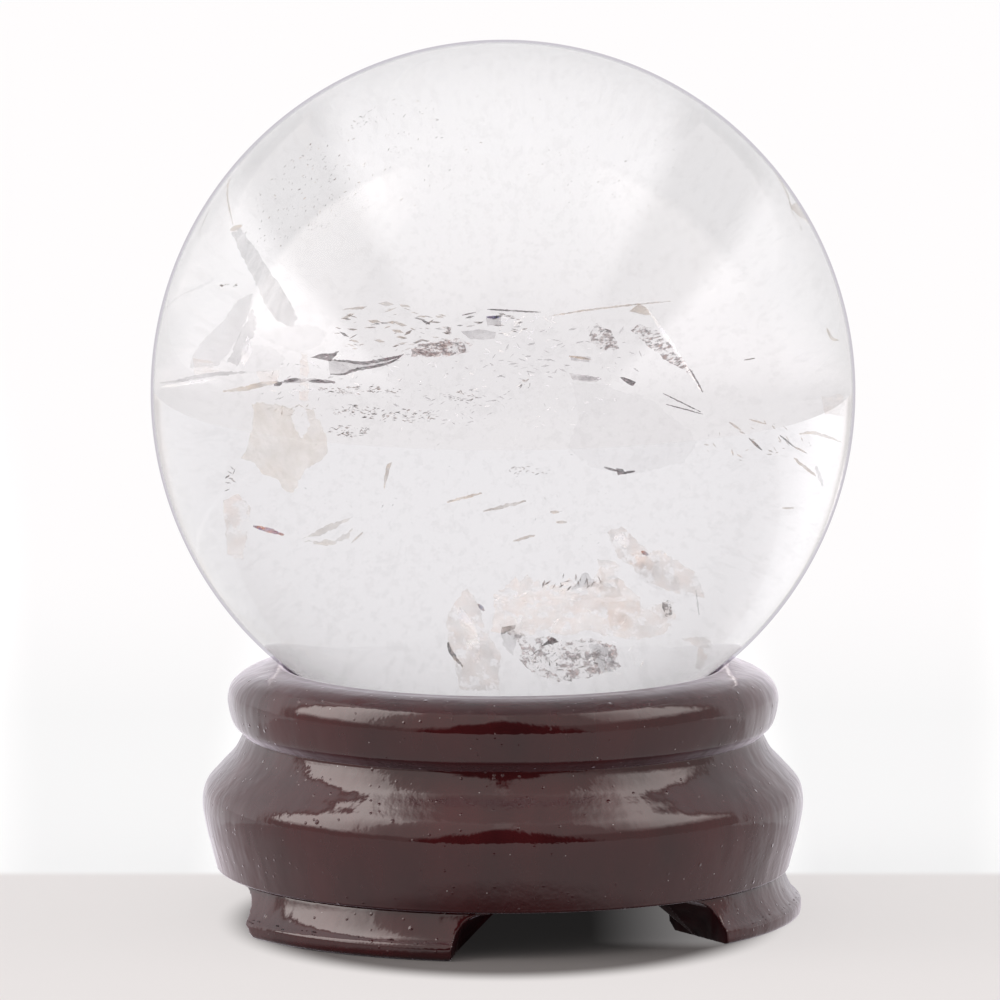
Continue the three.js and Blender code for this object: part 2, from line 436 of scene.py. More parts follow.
def bowl_outline(_fullness):
    edge = arc((28.3, FOOT_HEIGHT + 0.3), 0.3, -90, 0, 5)
    outer = spline([
        (28.6, FOOT_HEIGHT + 0.3), (29.05, 6.6), (29.6, 8.8), (BELLY_RADIUS, 11.2), (29.6, 13.0),
        (28.3, 14.6), (26.9, 16.1), (26.2, 17.3), (25.97, 17.9), (CREASE_RADIUS, RIM_JOINT_Z),
    ], 10)
    top = [(SPIGOT_RADIUS, RIM_JOINT_Z), (SPIGOT_RADIUS, SPIGOT_TOP_Z), (WELL_RADIUS, SPIGOT_TOP_Z)]
    dish = spline([(WELL_RADIUS, SPIGOT_TOP_Z), (17.5, 17.9), (12.5, 16.35), (6, DISH_BOTTOM_Z + 0.15),
                   (0.02, DISH_BOTTOM_Z)], 5)
    under = [(0.02, RECESS_Z), (10, RECESS_Z), (FOOT_INNER_RADIUS, RECESS_Z),
             (FOOT_INNER_RADIUS, FOOT_HEIGHT)]
    return edge + outer + top + dish + under


def lacquer_swell(x, y, z):
    """How far the hand-made surface stands off the turned one, in millimetres."""
    slow = noise.noise(Vector((x * 0.11, y * 0.11, z * 0.10 + 7)))
    drip = noise.noise(Vector((x * 0.42, y * 0.42, z * 0.16 + 3)))
    fine = noise.noise(Vector((x * 1.1, y * 1.1, z * 0.7)))
    return 0.05 * slow + 0.030 * drip + 0.007 * fine


def turned_piece(name, outline, surface, swell_above):
    """The closed outline turned about the axis, with the swell of the lacquer on its outside."""
    turns = 720
    columns = []
    for k in range(turns):
        angle = 2 * math.pi * k / turns
        x, y = math.sin(angle), math.cos(angle)
        fullness = max(0.0, min(1.0, (0.2 - y) / 0.8))
        column = []
        for radius, z in outline(fullness * fullness * (3 - 2 * fullness)):
            outside = max(0.0, min(1.0, (radius - swell_above) / 1.5))
            out = radius + outside * lacquer_swell(radius * x, radius * y, z)
            column.append((out * x, out * y, z))
        columns.append(column)
    count = len(columns[0])
    vertices = [columns[k][j] for j in range(count) for k in range(turns)]
    faces = []
    for j in range(count):
        for k in range(turns):
            a, b = j * turns, (j + 1) % count * turns
            n = (k + 1) % turns
            faces.append((a + k, b + k, b + n, a + n))
    return new_object(name, vertices, faces, surface)


# ---------------------------------------------------------------- the feet

def arch_half_width(notch, z):
    """Half of a sawn gap's width at a height, as its arch draws it."""
    half, lean, corner = notch["half"], notch["lean"], notch["corner"]
    if z <= FOOT_HEIGHT / 2:
        return half - lean * z / (FOOT_HEIGHT / 2)
    # the quadratic corner, from (half - lean, H / 2) to (half - lean - corner, H)
    t = 1 - math.sqrt(max(0.0, 1 - (z - FOOT_HEIGHT / 2) / (FOOT_HEIGHT / 2)))
    start, control, end = half - lean, half - lean - 0.6, half - lean - corner
    return (1 - t) ** 2 * start + 2 * t * (1 - t) * control + t * t * end


def wall_angle(notch, side, radius, z):
    """The direction from the axis, in radians, of a gap's wall at a radius and height."""
    taper = math.tan(math.radians(notch["right" if side > 0 else "left"]))
    across, out = 0.0, radius
    for _ in range(8):
        across = arch_half_width(notch, z) * (1 - (NOTCH_OUTSIDE - out) * taper / notch["half"])
        out = math.sqrt(max(radius * radius - across * across, 1))
    return math.radians(notch["angle"]) + side * math.atan2(across, out)


def foot_outline():
    """The section of a foot: a flat sole, a low band round it and a hollow above."""
    bottom = [(FOOT_INNER_RADIUS + 0.8, 0), (24, 0), (27, 0), (FOOT_RADIUS - 0.45, 0)]
    edge = arc((FOOT_RADIUS - 0.45, 0.45), 0.45, -80, 0, 4)
    band_top = (FOOT_RADIUS - 0.25, FOOT_BAND_HEIGHT)
    band = [(FOOT_RADIUS, 1.0), (FOOT_RADIUS - 0.03, FOOT_BAND_HEIGHT - 0.2), band_top]
    control, top = (FOOT_TOP_RADIUS, 2.3), (FOOT_TOP_RADIUS - 0.5, FOOT_HEIGHT)
    hollow = []
    for i in range(1, 13):
        t = i / 12
        hollow.append(tuple(
            (1 - t) ** 2 * p + 2 * t * (1 - t) * q + t * t * r for p, q, r in zip(band_top, control, top)
        ))
    inside = [(24, FOOT_HEIGHT), (FOOT_INNER_RADIUS, FOOT_HEIGHT), (FOOT_INNER_RADIUS, 2.5),
              (FOOT_INNER_RADIUS, 0.8)]
    return bottom + edge + band + hollow + inside


def foot_piece(name, left_of, right_of, surface, raw_shaded_surface):
    """A foot between two gaps: from the right wall of left_of to the left wall of right_of."""
    outline = foot_outline()
    steps = 90
    vertices, faces = [], []
    for k in range(steps + 1):
        for radius, z in outline:
            start = wall_angle(left_of, 1, radius, z)
            end = wall_angle(right_of, -1, radius, z)
            if end < start:
                end += 2 * math.pi
            angle = start + (end - start) * k / steps
            vertices.append((radius * math.sin(angle), -radius * math.cos(angle), z))
    count = len(outline)
    for k in range(steps):
        for j in range(count):
            a, b = k * count + j, k * count + (j + 1) % count
            faces.append((a, b, b + count, a + count))
    faces.append(tuple(range(count)))
    faces.append(tuple(steps * count + j for j in reversed(range(count))))
    piece = new_object(name, vertices, faces, surface)
    made = bmesh.new()
    made.from_mesh(piece.data)
    bmesh.ops.triangulate(made, faces=[f for f in made.faces if len(f.verts) > 4])
    bmesh.ops.recalc_face_normals(made, faces=made.faces)
    made.to_mesh(piece.data)
    made.free()
    apply_modifier(piece, "REMESH", mode="VOXEL", voxel_size=0.17 * MM, use_smooth_shade=True)
    apply_modifier(piece, "SMOOTH", factor=0.5, iterations=4)
    for vertex in piece.data.vertices:
        x, y, z = vertex.co / MM
        radius = math.hypot(x, y)
        swell = lacquer_swell(x, y, z)
        if radius > 27:
            scale = (radius + swell) / radius
            vertex.co = Vector((x * scale, y * scale, z)) * MM
        vertex.co.z = max(vertex.co.z, 0)
    piece.data.polygons.foreach_set("use_smooth", [True] * len(piece.data.polygons))
    # the end walls face round the ring, not outward; they take the gap-wall lacquer, whose dark red is
    # partly painted shade
    piece.data.materials.append(raw_shaded_surface)
    for polygon in piece.data.polygons:
        place = polygon.center / MM
        outward = Vector((place.x, place.y, 0)).normalized()
        rough = 0.14 * noise.noise(place * 1.6)
        facing = abs(polygon.normal.dot(outward)) + rough
        polygon.material_index = int(facing < 0.62 and abs(polygon.normal.z) < 0.75)
    return piece


# ---------------------------------------------------------------- the ball

def quartz_material():
    made, tree, output = material("rock_crystal")
    shader = node(tree, "BsdfPrincipled", {
        "Base Color": QUARTZ_TINT, "Roughness": 0.0, "IOR": QUARTZ_IOR, "Transmission Weight": 1.0,
        "Specular Tint": (0.3, 0.3, 0.3, 1)})
    # painted shade: where the ball is seen edge on, the glass gives way to a grey see-through tint, so
    # hardly any light comes back and a dark outline shows round the ball
    facing = node(tree, "LayerWeight", {"Blend": 0.5}).outputs["Facing"]
    edge = smooth_step(tree, facing, *SHADED_RIM_FACING)
    shaded_rim = node(tree, "BsdfTransparent", {"Color": SHADED_RIM_TINT})
    both = node(tree, "MixShader", {0: edge, 1: shader.outputs[0], 2: shaded_rim.outputs[0]})
    tree.links.new(both.outputs[0], output.inputs["Surface"])
    return made


def ball_piece(surface):
    made = bmesh.new()
    bmesh.ops.create_icosphere(made, subdivisions=7, radius=BALL_RADIUS * MM)
    bmesh.ops.translate(made, verts=made.verts, vec=BALL_CENTRE * MM)
    mesh = bpy.data.meshes.new("quartz_ball")
    made.to_mesh(mesh)
    made.free()
    mesh.polygons.foreach_set("use_smooth", [True] * len(mesh.polygons))
    mesh.materials.append(surface)
    return linked("quartz_ball", mesh)


# ---------------------------------------------------------------- what is inside the stone

# The marks below are drawn as the camera sees them, in millimetres right of and above the ball's centre,
# on a disc of this radius. seen_at carries each point into the stone, along the light's bent path.
DISC_RADIUS = 35.24
SPLINTER_REACH = 31.5
PLATE_THICKNESS = 0.12
STREAK_THICKNESS = 0.06
FLAT_GRAIN = (1, 0.2, 1)
DRAW_SEED = 70


def bent(direction, normal, ratio):
    cosine = -direction.dot(normal)
    root = math.sqrt(max(0.0, 1 - ratio * ratio * (1 - cosine * cosine)))
    return ratio * direction + (ratio * cosine - root) * normal


def seen_at(x, z, depth):
    """The point inside the ball that shows at (x, z); depth runs from -1, nearest the camera, to 1."""
    forward = (CAMERA_TARGET - CAMERA_PLACE).normalized()
    right = forward.cross(Vector((0, 0, 1))).normalized()
    up = right.cross(forward)
    drawn = Vector((x, z))
    if drawn.length > 0.985 * DISC_RADIUS:
        drawn *= 0.985 * DISC_RADIUS / drawn.length
    drawn *= BALL_RADIUS / DISC_RADIUS
    aim = BALL_CENTRE + right * drawn.x + up * drawn.y
    ray = (aim - CAMERA_PLACE).normalized()
    toward = CAMERA_PLACE - BALL_CENTRE
    along = ray.dot(toward)
    gap = max(0.0, along * along - toward.length_squared + BALL_RADIUS ** 2)
    entry = CAMERA_PLACE + ray * (-along - math.sqrt(gap))
    normal = (entry - BALL_CENTRE).normalized()
    inside = bent(ray, normal, 1 / QUARTZ_IOR)
    chord = -2 * BALL_RADIUS * inside.dot(normal)
    return entry + inside * chord * (0.5 + 0.47 * max(-1.0, min(1.0, depth)))


def ribbon(points, width):
    """The outline of a tapering streak along the points."""
    path = [points[0]] + (spline(points, 6) if len(points) > 2 else [
        tuple(a + (b - a) * step / 6 for a, b in zip(*points)) for step in range(1, 7)])
    count = len(path) - 1
    above, below = [], []
    for i, (x, z) in enumerate(path):
        x0, z0 = path[max(i - 1, 0)]
        x1, z1 = path[min(i + 1, count)]
        length = math.hypot(x1 - x0, z1 - z0)
        half = width / 2 * (0.18 + 0.82 * math.sin(math.pi * (i + 0.5) / (count + 1)))
        across = (-(z1 - z0) / length * half, (x1 - x0) / length * half)
        above.append((x + across[0], z + across[1]))
        below.append((x - across[0], z - across[1]))
    return above + below[::-1]


def ragged(outline, step, amount, draw):
    """The outline with its edges cut into steps and broken a little."""
    made = []
    for (x0, z0), (x1, z1) in zip(outline, outline[1:] + outline[:1]):
        pieces = max(1, round(math.hypot(x1 - x0, z1 - z0) / step))
        for i in range(pieces):
            t = i / pieces
            shift = amount if i else amount / 3
            made.append((x0 + (x1 - x0) * t + draw.uniform(-shift, shift),
                         z0 + (z1 - z0) * t + draw.uniform(-shift, shift)))
    return made


def plate(made, outline, depth, spacing, thickness):
    """Adds a thin closed plate. Its outline is drawn on the disc; depth gives how far in each point is."""
    xs, zs = [p[0] for p in outline], [p[1] for p in outline]
    points = [Vector(p) for p in outline]
    columns = int((max(xs) - min(xs)) / spacing) + 1
    rows = int((max(zs) - min(zs)) / spacing) + 1
    for i in range(columns):
        for j in range(rows):
            shift = spacing * (0.25 + 0.5 * (j % 2))
            points.append(Vector((min(xs) + i * spacing + shift, min(zs) + (j + 0.5) * spacing)))
    ring = list(range(len(outline)))
    found, _, faces, *_ = delaunay_2d_cdt(points, [], [ring], 1, 1e-4)
    inner = [f for f in faces if len(f) == 3]
    used = sorted({v for f in inner for v in f})
    front, back = {}, {}
    for v in used:
        x, z = found[v]
        near = depth(x, z)
        front[v] = made.verts.new(seen_at(x, z, near) * MM)
        back[v] = made.verts.new(seen_at(x, z, near + thickness / BALL_RADIUS) * MM)
    edges = {}
    for a, b, c in inner:
        made.faces.new((front[a], front[b], front[c]))
        made.faces.new((back[c], back[b], back[a]))
        for pair in ((a, b), (b, c), (c, a)):
            key = tuple(sorted(pair))
            edges[key] = None if key in edges else pair
    for pair in edges.values():
        if pair is not None:
            a, b = pair
            made.faces.new((front[b], front[a], back[a], back[b]))


def relief(deep, lean_x=0.0, lean_z=0.0, rough=0.04, scale=0.5, middle=(0, 0)):
    """A depth for plate: deep at the middle, leaning across and upward, with some unevenness."""
    def depth(x, z):
        bump = noise.noise(Vector((x * scale, z * scale, 10 * deep)))
        return deep + lean_x * (x - middle[0]) + lean_z * (z - middle[1]) + rough * bump
    return depth


def fracture(x, z):
    """The main break runs level through the stone: what shows higher is farther in."""
    bump = noise.noise(Vector((x * 0.35, z * 0.5, 4)))
    return max(-0.9, min(0.9, (z - 1.5) / 8.0)) + 0.05 * bump


def shard(made, x, z, depth, length, width, angle, draw):
    """Adds a small splinter, drawn on the disc, as a flattened six-pointed solid."""
    middle = seen_at(x, z, depth) * MM
    along = (seen_at(x + math.cos(angle), z + math.sin(angle), depth) * MM - middle).normalized()
    away = (seen_at(x, z, min(depth + 0.2, 1)) * MM - seen_at(x, z, depth - 0.2) * MM).normalized()
    across = along.cross(away).normalized()
    tips = [middle + along * length / 2 * MM, middle - along * length / 2 * MM]
    skew = draw.uniform(-0.25, 0.25) * length * MM
    sides = [middle + along * skew + across * width / 2 * MM, middle + away * width * 0.35 * MM,
             middle - along * skew - across * width / 2 * MM, middle - away * width * 0.35 * MM]
    tip_points = [made.verts.new(p) for p in tips]
    side_points = [made.verts.new(p) for p in sides]
    for i in range(4):
        a, b = side_points[i], side_points[(i + 1) % 4]
        made.faces.new((tip_points[0], a, b))
        made.faces.new((tip_points[1], b, a))


def mark_material(name, colours, solid, scale, threshold=None, stretch=FLAT_GRAIN, glow=0.0):
    """A flaw's surface: two colours in a fine noise, see-through by solid, or in holes past a threshold.

    The glow stands for the light that a white crack throws back."""
    made, tree, output = material(name)
    place = node(tree, "TexCoord").outputs["Object"]
    place = node(tree, "Mapping", {"Vector": place, "Scale": stretch}).outputs["Vector"]
    grain = node(tree, "TexNoise", {"Vector": place, "Scale": scale, "Detail": 3, "Roughness": 0.6})
    tint = ramp(tree, grain.outputs["Fac"], [(0.38, colours[0]), (0.62, colours[1])])
    other = node(tree, "TexNoise", {"Vector": place, "Scale": scale * 0.7, "Detail": 4, "Roughness": 0.7})
    low, high = (0.32, 0.68) if threshold is None else (threshold - 0.04, threshold + 0.04)
    least = solid * 0.4 if threshold is None else solid * 0.06
    cover = ramp(tree, other.outputs["Fac"], [(low, grey(least)), (high, grey(solid))])
    shader = node(tree, "BsdfPrincipled", {
        "Base Color": tint, "Roughness": 0.55, "IOR": 1.0, "Alpha": cover,
        "Emission Color": tint, "Emission Strength": glow})
    tree.links.new(shader.outputs[0], output.inputs["Surface"])
    return made


# the smoky wing at the left of the stone, which is drawn in three layers
WING = [
    (-25, 9.9), (-26.6, 9.2), (-27.9, 7.2), (-29.8, 5.4), (-31, 3.8), (-31.3, 2.4),
    (-28.6, 2.6), (-27.4, 4), (-26.3, 5.8), (-25.4, 7.8),
]
MARKS = {
    # the blade at the upper left, and the grey flakes like it
    "blade": [
        (relief(-0.1, 0.05, -0.06, middle=(-24, 11)), [
            (-27.2, 16), (-25.6, 12.6), (-24, 9.2), (-22.7, 7.2), (-21.2, 6.5), (-20.5, 7.4),
            (-21.7, 9.7), (-23.4, 12.2), (-24.9, 14.6), (-26.2, 16.4)]),
        (relief(0.1, middle=(-26, 5)), [
            (-25, 8.4), (-26.4, 5.8), (-27.6, 3), (-26.6, 2.6), (-25.4, 4.6), (-24.6, 6.9)]),
        (relief(-0.1, 0.02, 0.02, middle=(7, -18)), [(6.8, -19.7), (8.2, -18), (9.8, -19.4)]),
        (relief(0, 0.02, 0.02, middle=(1, -23)), [
            (-0.2, -24.2), (0.8, -23.4), (1.4, -24.6), (1, -26.4), (0, -25.4)]),
        (relief(0, middle=(10, -27)), [(8.6, -25.2), (10.4, -25.2), (11.4, -27.8), (9.6, -28.2)]),
    ],
    "smoke": [
        (fracture, [(-17.5, 3.2), (-15.7, 3), (-13.2, 2.9), (-10.3, 3.6), (-12.4, 2.7), (-14.6, 2.3),
                    (-15.2, 1.9), (-17.3, 1.8)]),
        (fracture, [(-22.9, 0.9), (-20.4, 1.4), (-18.4, 1.3), (-20.4, 0.9)]),
        (fracture, [(-4.2, 6.1), (-2.4, 6.3), (-0.7, 6), (-0.9, 5.3), (-3.2, 5.3)]),
        (fracture, [(-1.7, 7.6), (-0.2, 7.5), (-0.2, 6.6), (-1.6, 6.7)]),
        (fracture, [(6.6, 3.7), (8.8, 3.5), (8.6, 3), (6.8, 3.2)]),
        (fracture, [(6.6, 1.9), (9.6, 1.5), (9.4, 1), (7, 1.2)]),
    ],
    "haze": [(relief(0.2, rough=0.06, scale=0.2), arc((0, 0), 34.4, 0, 345, 23))],
    "veils": [
        (relief(0.1, 0.05, 0.05, middle=(-28, 6)), WING),
        (relief(0.3, 0.05, 0.05, middle=(-28, 6)), WING),
        (relief(0.5, 0.05, 0.05, middle=(-28, 6)), WING),
        (relief(0.2, 0.04, 0.06, middle=(-21, 5)), [
            (-24.4, 5.7), (-22, 6.5), (-19.6, 6.8), (-17.6, 6.1), (-18.4, 4.6), (-20.6, 4),
            (-22.8, 4.8)]),
        (relief(0.1, 0.04, 0.06, middle=(-24, 3)), [
            (-25.2, 4.8), (-23.2, 4.6), (-21.8, 3.4), (-22.6, 2.3), (-24, 2), (-26, 1.8),
            (-26.6, 3.2)]),
        (relief(-0.3, 0.02, 0.05, middle=(12, -3)), [
            (6.8, 1), (9.6, 0.9), (14.8, -0.8), (18.8, -4), (19.5, -5), (18.2, -7), (13, -8.2),
            (9, -7.6), (6.4, -5.6), (7.6, -2.4)]),
        (relief(0.2, middle=(33, -1)), [(31.8, -0.4), (34.2, -0.2), (34.2, -2.4), (32.2, -2.2)]),
        (relief(0, middle=(8, -20)), [(6.8, -21), (8.2, -19.4), (9.8, -20.6)]),
        (relief(0, middle=(10, -27)), [(9.3, -25.6), (11.8, -25.6), (10.8, -27.8), (9.6, -27.8)]),
        (relief(0.1, middle=(15, -18)), [
            (13.8, -17), (15.8, -17.6), (17.6, -18.6), (17.8, -19.8), (15.2, -19.6), (13.6, -18.6)]),
    ],
    "cream": [
        (relief(-0.2, 0.03, 0.04, middle=(-22, -5)), [
            (-25.2, -1.2), (-24, -1), (-21.8, -1.4), (-20.8, -1.8), (-21.2, -2.4), (-20.8, -3.8),
            (-20, -4.6), (-19.3, -3.4), (-19.8, -2), (-19, -1.6), (-18.8, -2.6), (-18.2, -3.2),
            (-17.6, -4.8), (-17.5, -5.8), (-18.4, -7), (-19.7, -7.6), (-21, -10), (-21.7, -9.9),
            (-22.7, -8.6), (-24, -8.2), (-24.8, -7.1), (-26.2, -6.6), (-25.5, -5.3), (-25, -3.6),
            (-25, -1.8)]),
        (relief(-0.1, middle=(-17, -14)), [
            (-20.2, -14.7), (-17.2, -13.1), (-15, -12.4), (-16.5, -13.5), (-18.6, -14.4)]),
        (relief(-0.1, middle=(-17, -14)), [
            (-20.1, -14.9), (-16.7, -14.8), (-15, -13.6), (-15.4, -14.6), (-17.6, -15.4)]),
    ],
    "pale": [
        (relief(0, 0.03, 0.02, middle=(-3, -24)), [
            (-3.6, -19.6), (-4.6, -20.8), (-5.4, -22), (-5.7, -23.3), (-5.2, -25.8), (-4.7, -28),
            (-4.2, -29.8), (-0.4, -29.8), (-0.4, -28), (-0.2, -26.3), (-1.2, -24.8), (-2, -23),
            (-2.4, -21.3)]),
        (relief(0.05, 0.01, 0.04, middle=(6, -21)), [
            (-1.2, -24), (-0.8, -22), (-1, -20.2), (0.2, -19.6), (1.2, -18.4), (1.6, -19.2),
            (2.4, -18.2), (3, -19), (3.8, -18.6), (4.6, -19.4), (5.4, -19.4), (6.6, -18.6),
            (7.6, -19.4), (9, -19), (9.8, -17.4), (10.4, -18.8), (11.6, -18.6), (12.6, -19.6),
            (13.8, -20.8), (13.6, -22.6), (12.4, -23.8), (10.2, -24.4), (8.6, -23.8), (6.2, -24.4),
            (4.2, -23.8), (2.2, -24.4), (0.4, -24.2)]),
        (relief(0.1, 0.02, 0.03, middle=(13, -22)), [
            (9.8, -21), (12, -20.8), (14.5, -21.2), (17, -21), (17.3, -22.6), (16, -24.2),
            (13.6, -24.8), (11, -24.4)]),
        (relief(-0.1), [
            (-28, -10.8), (-26.4, -10.2), (-25.2, -11.6), (-25.6, -14), (-26, -16.8),
            (-27.6, -16.2)]),
        (relief(0.1), [
            (10.4, -14), (11.8, -13.4), (13.2, -14.6), (15.6, -17), (14.4, -18), (11.6, -16.6)]),
        (relief(0.1), [
            (12, -16.4), (15.8, -15.8), (19.2, -18), (20.2, -20.6), (17.6, -20.2), (14, -18.8)]),
        (relief(0.2), [(31.8, -0.4), (34, -0.2), (34, -2.4), (32.2, -2.2)]),
        (relief(0, middle=(10, -19)), [
            (9.6, -20.6), (9.8, -18.2), (9.4, -16.6), (11, -16.9), (11.8, -17.6), (11.4, -19.2),
            (12, -20.4)]),
        (relief(0.1, middle=(19, -26)), [
            (17.8, -24.6), (20.6, -24.4), (21, -25.6), (19.8, -27.8), (19.2, -27.6), (19.6, -25.6)]),
        (fracture, [(-20.2, 4), (-19.6, 4), (-19.4, -0.8), (-20.4, -0.8)]),
        (fracture, [(-24.6, 2.2), (-22.4, 2.2), (-22.6, 0.7), (-24.2, 0.8)]),
        (fracture, [(-31, 3.4), (-28.8, 3), (-28.2, 2.2), (-30.8, 1.7)]),
    ],
    "white": [
        (relief(0.1, middle=(-26, 4)), [(-25.6, 5.6), (-26.3, 3.2), (-25.9, 2.6), (-25, 4.4)]),
        (relief(0.1, middle=(12, -15)), [(11, -14.6), (12, -14.2), (12.8, -15), (12.2, -15.6)]),
    ],
    "speckled": [
        (fracture, [
            (-9, 3.8), (-8.6, 4.7), (-7.6, 4.9), (-6, 5.1), (-4.6, 5.2), (-3.7, 5), (-3.8, 4),
            (-5, 3.7), (-6.6, 3.7), (-8.2, 3.6)]),
        (fracture, [(-6.6, 6.5), (-5.2, 6.4), (-5.1, 5.8), (-5.8, 6)]),
        (fracture, [
            (8.6, 6.2), (9.8, 6.8), (10.8, 6.2), (11.4, 5.1), (11.7, 4.3), (9.8, 4.2), (8.8, 5)]),
        (fracture, [
            (12.8, 6.2), (13.8, 6.8), (15.3, 6.2), (16.8, 4.7), (19, 2.1), (18.6, 1.9), (16.3, 3.2),
            (14.8, 4.4)]),
        (relief(0.1, middle=(16, -22)), [(15.9, -21), (16.8, -20.8), (17, -22), (16.2, -22.6)]),
    ],
    "crumbs": [
        (relief(0, 0.02, 0.03, middle=(6, -27)), [
            (-0.4, -23.2), (1.2, -23.9), (2.6, -24.6), (4.6, -24.4), (6.4, -25), (8.6, -24.6),
            (11.2, -25.4), (11.8, -27.4), (8.6, -28.6), (5.4, -29), (3.2, -28.2), (1.6, -26.8),
            (1.8, -25.4)]),
        (fracture, [
            (-9.2, 4.3), (-6.4, 5.3), (-4.4, 5.4), (-3, 4.8), (-3.4, 4), (-6, 3.5), (-9.2, 3.6)]),
    ],
    "dark": [
        (fracture, [(-19.3, 3.5), (-18.4, 3.8), (-17.2, 3.9), (-16.4, 4.1), (-16.9, 3.5), (-17.2, 3.1),
                    (-18.4, 3.3)]),
        (relief(-0.4), [(11.3, -7.6), (12, -7.7), (12.4, -8.2), (11.5, -8.3)]),
        (fracture, [(11.7, 1.5), (12.4, 1.4), (13.3, 1), (13, 0.6), (12.4, 0.9)]),
        (relief(0), [(3.8, -25.4), (4.8, -24.5), (5.6, -25)]),
        (relief(0), [(-0.2, -24.2), (1.2, -23.7), (1.3, -23.3), (-0.1, -23.5)]),
    ],
    "tan": [
        (fracture, [(12.6, 8.1), (13.6, 8.8), (14.3, 8.5), (14.8, 7.7), (13.8, 7.8)]),
        (relief(-0.2), [(-11.6, -7.2), (-11.1, -7), (-11.5, -8.4), (-11.9, -9.8), (-11.9, -8.6)]),
    ],
}

# streaks: the kind, how deep (None on the main break), the width, and the points along it
STREAKS = [
    ("smoke", 0.1, 0.40, [(-34.3, 0.9), (-32.2, 1.2), (-29.7, 1.7), (-27.4, 1.9), (-25.6, 2)]),
    ("white", 0.1, 0.35, [(-34.2, 0.5), (-31.5, 0.9), (-28.6, 1.3)]),
    ("tan", 0, 0.5, [(-28, 0.1), (-25.7, 0.4), (-24, 0.8), (-22.6, 1)]),
    ("dark", None, 0.42, [(-22.9, 0.7), (-22.1, 0.9)]),
    ("dark", None, 0.42, [(-21.9, 1.1), (-20.4, 1.3)]),
    ("dark", None, 0.36, [(-19.4, 1.1), (-18.3, 1.1), (-16.8, 1)]),
    ("dark", None, 0.34, [
        (-17.5, 3.2), (-15.7, 3.1), (-14, 2.9), (-12.2, 3.2), (-10.7, 3.5), (-9.9, 3.8)]),
    ("dark", None, 0.30, [
        (-17.3, 1.8), (-15.9, 1.8), (-15, 2.2), (-12.7, 2.6), (-11.2, 3), (-10.2, 3.6)]),
    ("dark", None, 0.24, [(-8.1, 7.2), (-7.3, 6.8)]),
    ("dark", None, 0.17, [(-1.6, 8.3), (1, 8.15), (3.8, 8)]),
    ("dark", None, 0.14, [(-4.1, 7.7), (-2.7, 8)]),
    ("tan", None, 0.18, [(4.6, 7.6), (9.8, 8.4), (16.8, 9.1)]),
    ("dark", None, 0.20, [(18.7, 2.3), (20, 0)]),
    ("white", None, 0.32, [(14.3, 8.5), (16.6, 5.2), (19.8, 0.2)]),
    ("tan", None, 0.20, [(6.6, 3.6), (8.8, 3.3)]),
    ("smoke", None, 0.45, [(6.8, 1.5), (9.8, 1.3)]),
    ("dark", None, 0.13, [(16, -0.1), (19.8, -2)]),
    ("dark", None, 0.13, [(16.3, -1.2), (20, -2.2)]),
    ("dark", -0.4, 0.26, [(10.1, -7.5), (11.5, -7.9)]),
    ("dark", -0.4, 0.26, [(12, -8.1), (13.2, -7.9)]),
    ("tan", 0, 0.3, [(-5.6, -11), (-2.1, -10.1)]),
    ("tan", 0, 0.35, [(-2, -11.9), (2.3, -10.9)]),
    ("tan", 0, 0.3, [(4.7, -12), (5.6, -12)]),
    ("tan", 0, 0.3, [(5.3, -13), (6.4, -13)]),
    ("tan", 0, 0.3, [(1, -14.9), (3.2, -14.3)]),
    ("tan", -0.1, 0.2, [(-15.2, -15.1), (-14, -14)]),
    ("tan", -0.1, 0.16, [(-27.3, 21.7), (-27.6, 19.7), (-27, 16.7)]),
    ("tan", -0.1, 0.5, [(-27.3, 16.2), (-26.1, 16.7)]),
    ("white", 0, 1.3, [(-4.5, -21.6), (-3.3, -24), (-2.6, -27)]),
    ("dark", 0, 0.4, [(-5.5, -25), (-5.2, -26), (-4, -27.5)]),
    ("smoke", 0.1, 0.16, [(19.3, -19.8), (19.6, -22.3)]),
    ("tan", 0.2, 0.3, [(32.4, 6.4), (32.9, 5.4), (33.6, 5.2)]),
    ("tan", 0.2, 0.3, [(29.6, -4.2), (31.3, -4.1), (33.8, -5)]),
    ("tan", 0.1, 0.25, [(22.6, -3), (23.8, -3.8)]),
    ("tan", 0.1, 0.18, [(24.6, -2.7), (26.3, -3.2)]),
    ("brown", 0.1, 0.25, [(24.6, -4.6), (25.9, -5.8)]),
    ("dark", 0.1, 0.16, [(27.7, -4.3), (29.3, -5.6)]),
    ("tan", 0.1, 0.18, [(29, -5.4), (30.4, -6.1)]),
    ("tan", 0.1, 0.34, [(29.1, -6.6), (31.3, -8.4)]),
    ("smoke", 0.1, 0.4, [(31.3, -7.4), (32, -9.4)]),
    ("brown", 0.1, 0.14, [(24.1, 3.2), (25.2, 3.4)]),
    ("tan", 0, 0.2, [(27.9, -11.6), (29.1, -11.6)]),
    ("iris", -0.2, 0.45, [(-25, -13.4), (-23.5, -13.8), (-21.9, -14.3)]),
    ("iris", 0, 0.4, [(-2.5, -21.2), (-1.9, -21.9)]),
    ("iris", 0, 0.4, [(13.8, -15.9), (14.5, -16.3)]),
    ("iris", None, 0.3, [(-1.6, 7.5), (-0.4, 7.5)]),
]

